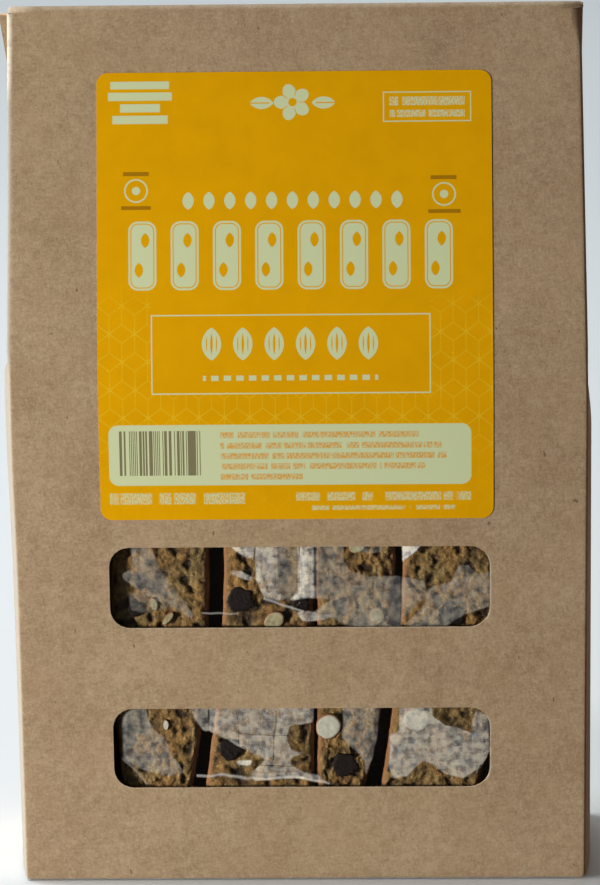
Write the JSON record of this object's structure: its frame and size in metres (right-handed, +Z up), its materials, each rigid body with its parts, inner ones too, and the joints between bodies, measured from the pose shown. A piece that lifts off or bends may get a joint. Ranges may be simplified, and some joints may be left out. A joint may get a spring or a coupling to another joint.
{
  "type": "windowed carton of biscotti",
  "caption": "Shut upright kraft carton with an inward-folded pitched top, a printed label, two film-backed windows and almond chocolate chip biscotti standing behind them.",
  "frame": {"origin": "on the surface the pack stands on, under the middle of its box", "axes": "+Z up, the front with the label and windows faces -Y, +X to the right as seen from the front"},
  "size_m": [0.186, 0.0646, 0.2754],
  "materials": {
    "kraft_board": "matte",
    "label_paper": "satin",
    "clear_film": "gloss",
    "biscotto": "matte"
  },
  "bodies": {
    "root": {"carton": "kraft_board", "label": "label_paper", "window_film": "clear_film", "biscotto_1": "biscotto", "biscotto_2": "biscotto", "biscotto_3": "biscotto", "biscotto_4": "biscotto"}
  },
  "joints": []
}
